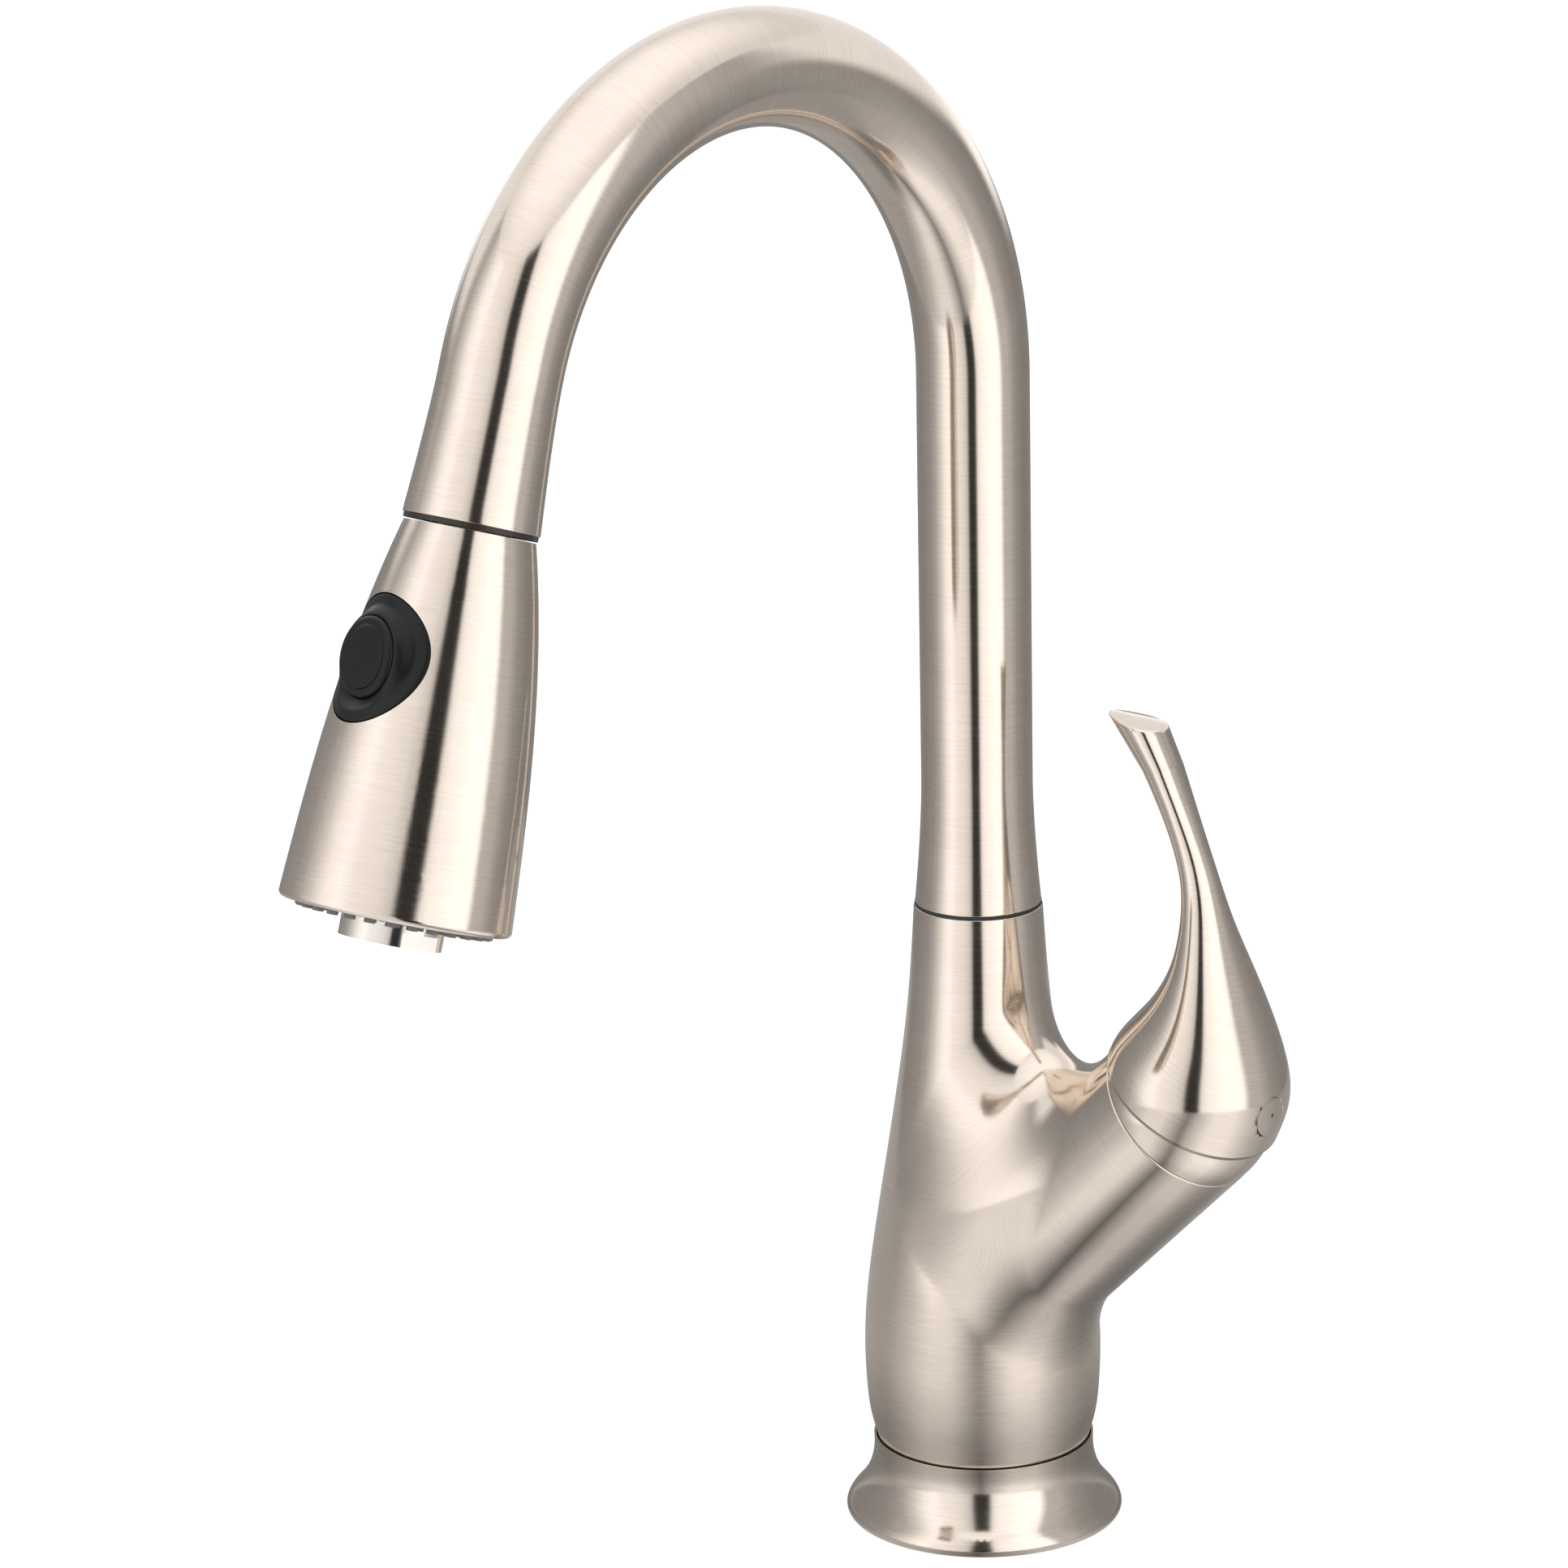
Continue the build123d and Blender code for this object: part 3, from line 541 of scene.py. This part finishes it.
def bodySkin():
    # a column and a rod laid over each other, remeshed and moved onto the blended surface
    s = bodyShape
    z = np.linspace(s["foot"] - 6, s["seam"] + 6, 60)
    core = np.stack([columnRadius(z), z], -1) * mm
    mesh = lathe("core", core, (0, 0, 0), (0, 0, 1), (1, 0, 0), 64)
    rod = np.array([(s["branchRadius"], t) for t in np.linspace(s["branchFrom"], s["branchEnd"] + 5, 20)])
    arm = lathe("rod", rod * mm, np.array(s["branchStart"]) * mm, branchAxis, (0, 1, 0), 64)
    work = bmesh.new()
    work.from_mesh(mesh)
    work.from_mesh(arm)
    work.to_mesh(mesh)
    work.free()
    for _ in range(3):
        # three rounds, because the web needs new faces as it fills
        mesh = bareMesh(mesh, "REMESH", mode="VOXEL", voxel_size=s["voxel"] * mm)
        p = readVerts(mesh) / mm
        for _ in range(8):
            slope = bodySlope(p)
            step = bodyDistance(p)[:, None] * slope / np.maximum((slope ** 2).sum(1), 0.05)[:, None]
            p -= np.clip(step, -3, 3)
        mesh.vertices.foreach_set("co", (p * mm).astype(np.float32).ravel())
    return mesh


def openEnds(mesh):
    # flat ends with bores: one right through the column, and the valve's own, closed at its floor
    s = bodyShape
    axis, start = np.array(branchAxis), np.array(s["branchStart"])
    work = bmesh.new()
    work.from_mesh(mesh)
    ends = [((0, 0, s["seam"] - s["lip"]), (0, 0, 1)), ((0, 0, s["foot"]), (0, 0, -1)),
            (start + axis * (s["branchEnd"] - s["lip"]), axis)]
    for centre, way in ends:
        bmesh.ops.bisect_plane(work, geom=work.verts[:] + work.edges[:] + work.faces[:], dist=0.02 * mm,
                               plane_co=Vector(centre) * mm, plane_no=Vector(way), clear_outer=True)
    middle = (s["seam"] + s["foot"]) / 2
    top = closeEnd(work, *ends[0], s["throughBore"], s["seam"] - middle)
    foot = closeEnd(work, *ends[1], s["throughBore"], middle - s["foot"] - 2)
    bmesh.ops.bridge_loops(work, edges=top + foot)
    valve = closeEnd(work, *ends[2], s["valveBore"], s["valveDepth"])
    bmesh.ops.contextual_create(work, geom=valve)
    bmesh.ops.recalc_face_normals(work, faces=work.faces)
    work.to_mesh(mesh)
    work.free()


def makeBody():
    mesh = bodySkin()
    openEnds(mesh)
    p = readVerts(mesh) / mm
    # shading follows the formula's own slope wherever a vertex lies on the blended surface
    skin = np.abs(bodyDistance(p)) < 0.06
    normals = bodySlope(p)
    normals /= np.linalg.norm(normals, axis=1)[:, None]
    normals[~skin] = 0
    mesh.polygons.foreach_set("use_smooth", np.ones(len(mesh.polygons), dtype=bool))
    mesh.normals_split_custom_set_from_vertices(normals.tolist())
    # brushing runs round the column and turns to run round the branch beyond the web
    run = (p - np.array(bodyShape["branchStart"])) @ np.array(branchAxis)
    far = ease((np.hypot(p[:, 0], p[:, 1]) - columnRadius(p[:, 2]) - 2) / 18)
    along = (p[:, 2] * (1 - far) + run * far) * mm
    mesh.attributes.new("along", "FLOAT", "POINT").data.foreach_set("value", along.astype(np.float32))
    piece = addPiece("body_casting", mesh, bodyNickel)
    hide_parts("body")
    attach(piece, "base")


# the gooseneck

spout = {"radius": 14.15, "bore": 12.9, "foot": 165.45, "rise": 302.0, "bend": 86.0, "turn": 161.2,
         "leg": 34.5, "footRadius": 16.15, "footFlare": 32.0, "endRadius": 15.84, "endFlare": 32.0,
         "lip": 0.5, "ringRadius": 15.53}


def spoutFrame(s):
    # point, tangent and outward normal of the gooseneck at distance s: up, round, then down the leg
    turn, r = np.radians(spout["turn"]), spout["bend"]
    straight = spout["rise"] - spout["foot"]
    angle = np.clip((s - straight) / r, 0, turn)
    out = np.stack([0 * s, np.cos(angle), np.sin(angle)], -1)
    ahead = np.stack([0 * s, -np.sin(angle), np.cos(angle)], -1)
    spare = np.minimum(s - straight, 0) + np.maximum(s - straight - r * turn, 0)
    centre = np.array([0, -r, spout["rise"]])
    return centre + r * out + ahead * spare[:, None], ahead, out


def makeSpout():
    w = spout
    total = w["rise"] - w["foot"] + w["bend"] * np.radians(w["turn"]) + w["leg"]
    lip = w["lip"]
    s = np.linspace(lip * 2.5, total - lip * 2.5, 260)
    flareUp = (w["footRadius"] - w["radius"]) * np.clip(1 - s / w["footFlare"], 0, 1) ** 1.6
    flareDown = (w["endRadius"] - w["radius"]) * np.clip(1 - (total - s) / w["endFlare"], 0, 1) ** 1.5
    outer = np.stack([w["radius"] + flareUp + flareDown, s], -1)
    foot = cornered([(outer[0, 0], 2.4 * lip, 0), (w["footRadius"], 0, lip), (w["bore"], 0, lip),
                     (w["bore"], 6, 0)])[::-1]
    mouth = cornered([(outer[-1, 0], total - 2.4 * lip, 0), (w["endRadius"], total + 0.8, 0.14),
                      (w["ringRadius"], total + 0.8, 0.06), (w["ringRadius"], total, 0.06),
                      (w["bore"] + 0.3, total, lip), (w["bore"] + 0.3, total - 4, 0)])
    inner = np.stack([np.full(40, w["bore"]), np.linspace(total - 8, 10, 40)], -1)
    outline = np.vstack([foot[:-1], outer, mouth[1:], inner])
    centre, _, out = spoutFrame(outline[:, 1])
    turnBy = np.linspace(0, 2 * np.pi, 112, endpoint=False)[None, :, None]
    ring = np.array([1.0, 0, 0]) * np.cos(turnBy) + out[:, None, :] * np.sin(turnBy)
    points = centre[:, None, :] + ring * outline[:, 0][:, None, None]
    mesh = gridSkin("gooseneck", points * mm, outline[:, 1] * mm, loop=True)
    piece = addPiece("gooseneck", mesh, bodyNickel)
    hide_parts("spout_tube")
    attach(piece, "spout")


# the lever

# Lever sections from bulb to tip, mm: inner edge x and z, outer edge x and z, half width.
leverSections = [(50.4, 143.4, 91.6, 122.8, 23.05), (58.6, 152.4, 92.2, 134.9, 18.9),
                 (64.4, 162.0, 88.7, 147.2, 14.2), (66.3, 169.9, 84.1, 159.6, 10.3),
                 (66.5, 177.2, 79.4, 171.6, 7.1), (65.1, 184.7, 74.7, 184.7, 5.0),
                 (60.5, 196.1, 69.4, 197.6, 4.5), (53.5, 208.7, 63.5, 211.2, 5.1)]
handle = {"bulb": (69.312, 0, 129.251), "bulbRadius": 23.5, "lever": (0.51713, 0, 0.85591), "skirt": -1.6,
          "pivot": (66.235, 0, 124.158), "cavity": 22.62, "cavityUp": 3.0, "tip": (42.6, 0, 222.3),
          "tipFall": 8.5, "tipEnd": (43.2, 221.4, 56.8, 224.1, 5.9), "tipEdge": 0.8, "egg": 0.30,
          "tipCrown": 0.5, "skirtEdge": 0.075, "plugFall": 7.1, "plugRadius": 5.12, "pocket": (-2.0, 5.0),
          "rows": 170, "cols": 112, "runs": (92, 110)}


def leverSection(cx, cz, hx, hz, width, egg):
    # centre plus half-width times the cosine in x and z, and width times the sine in y; the sine is
    # scaled by 1 + egg times the cosine, which narrows the oval on its inner side
    turnBy = np.linspace(0, 2 * np.pi, handle["cols"], endpoint=False)
    x = cx[..., None] + hx[..., None] * np.cos(turnBy)
    z = cz[..., None] + hz[..., None] * np.cos(turnBy)
    y = width[..., None] * np.sin(turnBy) * (1 + np.asarray(egg)[..., None] * np.cos(turnBy))
    return np.stack([x, y, z], -1)


def leverBase():
    # the plane of the skirt: its middle, the direction across it and its radius on the bulb
    lever = np.array(handle["lever"])
    low = np.array(handle["bulb"]) + lever * handle["skirt"]
    return low, np.array([lever[2], 0, -lever[0]]), np.sqrt(handle["bulbRadius"] ** 2 - handle["skirt"] ** 2)


def leverSkin():
    # smooth curve through the listed sections, starting on the bulb's own circle
    low, side, first = leverBase()
    inner, outer = low - side * first, low + side * first
    k = np.array([(inner[0], inner[2], outer[0], outer[2], first)] + leverSections)
    mid, half = (k[:, 0:2] + k[:, 2:4]) / 2, (k[:, 2:4] - k[:, 0:2]) / 2
    table = curveThrough(np.column_stack([mid, 0 * mid[:, 0], half, k[:, 4]]), handle["rows"])
    egg = ease(np.linspace(-1.2, 1, handle["rows"])) * handle["egg"]
    return leverSection(table[:, 0], table[:, 1], table[:, 3], table[:, 4], table[:, 5], egg)


def leverTip(last):
    # the last section runs straight on to the sloping tip plane, and its edge turns over into a
    # slightly crowned end
    h = handle
    e = np.array(h["tipEnd"])
    parts = ((e[0] + e[2]) / 2, (e[1] + e[3]) / 2, (e[2] - e[0]) / 2, (e[3] - e[1]) / 2, e[4], h["egg"])
    beyond = leverSection(*(np.array([v]) for v in parts))[0]
    fall = radians(h["tipFall"])
    tip, up = np.array(h["tip"]), np.array([np.sin(fall), 0, np.cos(fall)])
    ahead = beyond - last
    rim = last + ahead * ((tip - last) @ up / (ahead @ up))[:, None]
    backward = (last - rim) / np.linalg.norm(last - rim, axis=1)[:, None]
    hub = rim.mean(0)
    inward = (hub - rim) / np.linalg.norm(hub - rim, axis=1)[:, None]
    bow, rise = h["tipEdge"], h["tipCrown"]
    stretch = [last + (rim + backward * 1.6 * bow - last) * t for t in np.linspace(0.06, 1, 22)]
    bend = [rim + backward * bow * (1 - t) ** 2 + inward * bow * t ** 2 for t in np.linspace(0, 1, 7)]
    crown = [rim + (hub - rim) * t + inward * bow * (1 - t) + up * rise * (1 - (1 - t) ** 2)
             for t in np.linspace(0.04, 0.96, 14)]
    return stretch + bend + crown


def leverHollow(rim):
    # round cavity that clears the dome, then a flat skirt edge out to the given rim
    h = handle
    low, side, _ = leverBase()
    lever = np.array(h["lever"])
    turnBy = np.linspace(0, 2 * np.pi, h["cols"], endpoint=False)
    centre = np.array(h["pivot"]) + lever * h["cavityUp"]
    drop = (low - centre) @ lever
    start = np.arcsin(drop / h["cavity"])
    ring = side[None] * np.cos(turnBy)[:, None] + np.array([0, 1, 0]) * np.sin(turnBy)[:, None]
    hollow = [centre + h["cavity"] * (ring * np.cos(a) + lever * np.sin(a))
              for a in np.linspace(np.pi / 2 - 0.03, start, 24)]
    lip = centre + ring * np.sqrt(h["cavity"] ** 2 - drop ** 2)
    edge = [lip + (rim - lip) * 0.35, lip + (rim - lip) * 0.75, rim - ring * h["skirtEdge"] + lever * 0.02]
    return hollow + edge


def plugPocket(mesh):
    # the seat of the index plug, cut into the bulb
    h = handle
    fall = radians(h["plugFall"])
    out = np.array([np.cos(fall), 0, -np.sin(fall)])
    pocket = np.array([(h["plugRadius"], h["bulbRadius"] + d) for d in h["pocket"]])
    tool = lathe("plug_pocket", pocket * mm, np.array(h["bulb"]) * mm, out, (0, 1, 0), 64)
    cutter = bpy.data.objects.new("plug_pocket", tool)
    bpy.context.scene.collection.objects.link(cutter)
    mesh = bareMesh(mesh, "BOOLEAN", operation="DIFFERENCE", solver="EXACT", object=cutter)
    bpy.data.objects.remove(cutter)
    return mesh


def makeHandle():
    skin = leverSkin()
    hollow, tip = leverHollow(skin[0]), leverTip(skin[-1])
    length, tipLength = handle["runs"]
    run = np.concatenate([np.zeros(len(hollow)), np.linspace(0, length, len(skin)),
                          np.linspace(length, tipLength, len(tip))])
    points = np.array(hollow + list(skin) + tip)
    mesh = plugPocket(gridSkin("lever", points * mm, run * mm))
    piece = addPiece("lever_handle", mesh, bodyNickel)
    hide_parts("handle")
    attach(piece, "handle")


# button and its cover on the spray head

head = {"dock": (0, -178.53, 297.055), "turn": 9.5, "buttonZ": 34.6, "panel": 14.78, "button": 9.4,
        "bell": [(15.2, 2.4), (19.76, 22.9), (23.16, 45.4), (25.32, 68.0), (26.75, 89.6)],
        "buttonTop": 22.7, "collar": 21.5, "collarEnd": 12.6, "skin": 2.4, "gap": 0.12,
        "well": 14.4, "wellTop": 19.0, "sides": 112, "crown": 0.25, "capFoot": 18.2, "capBore": 7.2,
        "capHollow": 21.6}
headOut = np.array([0, -0.94665, 0.32227])
swing = radians(head["turn"])
buttonSide = np.array([np.cos(swing), 0, 0]) + headOut * np.sin(swing)
buttonOut = headOut * np.cos(swing) - np.array([np.sin(swing), 0, 0])
buttonPlace = np.array(head["dock"]) + np.array(headDown) * head["buttonZ"]
bellCurve = curveThrough([(h, r, 0) for r, h in head["bell"]], 200)


def bellRadius(z):
    return np.interp(z, bellCurve[:, 0], bellCurve[:, 1])


def makeButton():
    # crowned cap with a soft edge, hollow under its top so that the spring has room when pressed
    h = head
    top, r, foot, bore, hollow = (h[k] for k in ("buttonTop", "button", "capFoot", "capBore", "capHollow"))
    crown = [(r * 0.8 * t, top + h["crown"] * (1 - t * t)) for t in np.linspace(0.02, 1, 10)]
    skirt = cornered([crown[-1] + (0,), (r, top - 0.1, 1.3), (r, foot, 0.2), (bore, foot, 0.2),
                      (bore, hollow, 0)])
    outline = np.vstack([crown[:-1], skirt, [(3.4, hollow), (0.4, hollow)]])
    mesh = lathe("button_cap", outline * mm, buttonPlace * mm, buttonOut, buttonSide, 80)
    piece = addPiece("button_cap", mesh, finishes["button_black"])
    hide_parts("button")
    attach(piece, "button")


def makePanel():
    # Round cover that follows the bell and swells into a soft collar round the button: height is
    # the bell's surface, eased up to the collar height toward the hole.
    h = head
    turnBy = np.linspace(0, 2 * np.pi, h["sides"], endpoint=False)
    hole = h["button"] + h["gap"]

    def surface(r):
        x, z = r * np.cos(turnBy), h["buttonZ"] + r * np.sin(turnBy)
        return np.sqrt(bellRadius(z) ** 2 - x ** 2)

    rows = []
    radii = np.concatenate([np.linspace(hole, h["collarEnd"], 16), np.linspace(13.0, h["panel"] - 0.35, 6)])
    for r in radii:
        swell = 1 - ease((r - hole) / (h["collarEnd"] - hole))
        rows.append((r, surface(r) * (1 - swell) + h["collar"] * swell + 0.04))
    r = h["panel"]
    outer = [(r - 0.12, surface(r) - 0.02)] + [(r, surface(r) - d) for d in (0.2, 1.2, h["skin"])]
    under = [(q, surface(q) - h["skin"] - 0.1) for q in (14.0, 12.5)]
    inside = ((11.0, h["well"]), (hole, h["well"]), (hole, h["wellTop"]))
    well = [(q, np.full(h["sides"], z)) for q, z in inside]
    rows = rows + outer + under + well
    points = []
    for r, height in rows:
        flat = (buttonSide * (r * np.cos(turnBy))[:, None]
                + np.array(headDown) * (r * np.sin(turnBy))[:, None])
        points.append(buttonPlace + flat + buttonOut * height[:, None])
    mesh = gridSkin("panel_cover", np.array(points) * mm, np.zeros(len(points)), loop=True)
    piece = addPiece("panel_cover", mesh, finishes["black_plastic"])
    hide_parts("button_panel")
    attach(piece, "spray_head")


# dark seams: black rubber rings set into the narrow gaps; their black is partly the rubber's colour and
# partly painted shade standing in for the shade inside the gaps

# ring radius, half height, centre, axis, side, body: the swivel seam and the edge of the index plug
seams = [("swivel_seam", (15.2, 16.22), 0.55, (0, 0, 165.12), (0, 0, 1), (1, 0, 0), "base"),
         ("plug_seam", (4.98, 5.11), 0.7, (91.143, 0, 126.532), (0.99233, 0, -0.12360), (0, 1, 0), "handle")]


def makeSeams():
    for name, radii, half, centre, axis, side, body in seams:
        outline = cornered([(radii[0], -half, 0), (radii[1], -half, 0.05), (radii[1], half, 0.05),
                            (radii[0], half, 0.05), (radii[0], -half + 0.02, 0)], 3)
        mesh = lathe(name, outline * mm, np.array(centre) * mm, axis, side, 96, loop=True)
        # the ring's black also paints the shade that falls inside the gap between the two parts
        piece = addPiece(name, mesh, finishes["black_rubber"])
        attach(piece, body)


# threaded shank and drawn hose

shank = {"radius": 16.0, "bore": 13.0, "foot": -62.0, "top": 15.0, "pitch": 1.5, "depth": 0.8}


def makeShank():
    # threaded pipe: radius falls and rises once per pitch, and the phase advances once per turn
    w = shank
    sides = 96
    z = np.linspace(w["foot"], w["top"], int((w["top"] - w["foot"]) / (w["pitch"] / 8)) + 1)
    turnBy = np.linspace(0, 1, sides, endpoint=False)
    phase = (z[:, None] / w["pitch"] - turnBy[None, :]) % 1
    thread = np.clip(np.abs(phase * 2 - 1) * 1.3 - 0.15, 0, 1)
    fade = ease((z - w["foot"]) / 1.5)[:, None] * ease((w["top"] - z) / 1.5)[:, None]
    r = w["radius"] - w["depth"] * (1 - thread * fade)
    outer = np.stack([r * np.cos(turnBy * 2 * np.pi), r * np.sin(turnBy * 2 * np.pi),
                      np.repeat(z[:, None], sides, 1)], -1)
    bore = []
    for height in (w["top"], w["top"] - 20, w["foot"] + 20, w["foot"]):
        bore.append(np.stack([w["bore"] * np.cos(turnBy * 2 * np.pi),
                              w["bore"] * np.sin(turnBy * 2 * np.pi), np.full(sides, height)], -1))
    points = np.concatenate([outer, np.array(bore)])
    mesh = gridSkin("threaded_shank", points * mm, points[:, 0, 2] * mm, loop=True)
    piece = addPiece("threaded_shank", mesh, finishes["brass"])
    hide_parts("mounting_shank")
    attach(piece, "base")


hose = {"radius": 5.95, "bore": 4.0, "top": -32.7, "foot": -16.0, "travel": 200.0, "strand": 6.0,
        "relief": 0.28, "strands": 12}


def makeHose():
    # Woven sleeve, built once at its resting length. Its weave is two crossing helices, laid
    # out on the length that it has when it is fully drawn.
    w = hose
    sides = 72
    t = np.linspace(0, 1, 400)
    drawn = (w["foot"] - w["top"]) * t + w["travel"] * ease(t)
    turnBy = np.linspace(0, 2 * np.pi, sides, endpoint=False)
    a = np.sin(w["strands"] * turnBy[None] + drawn[:, None] * 2 * np.pi / w["strand"])
    b = np.sin(w["strands"] * turnBy[None] - drawn[:, None] * 2 * np.pi / w["strand"])
    r = w["radius"] - w["relief"] * (1 - np.maximum(a, b) ** 2)
    z = w["top"] + (w["foot"] - w["top"]) * t
    dock, down = np.array(head["dock"]), np.array(headDown)
    across = np.array([1.0, 0, 0])[None] * np.cos(turnBy)[:, None] + headOut[None] * np.sin(turnBy)[:, None]
    outer = dock + z[:, None, None] * down + r[..., None] * across[None]
    inner = [dock + height * down + w["bore"] * across for height in np.linspace(w["foot"], w["top"], 60)]
    points = np.concatenate([outer, np.array(inner)])
    mesh = gridSkin("braided_hose", points * mm, points[:, 0, 2] * mm, loop=True)
    piece = addPiece("braided_hose", mesh, finishes["hose_braid"])
    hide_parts("pullout_hose")
    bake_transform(piece)


# everything made, in order

makeCamera()
makeWorld()
makeTent()
makeFloor()
makeTable()
dressFrame()
print("studio and finishes ready")
for build in (makeBody, makeSpout, makeHandle, makeButton, makePanel, makeSeams, makeShank, makeHose):
    build()
    print(build.__name__, "done")
bpy.context.scene.view_settings.view_transform = "Standard"
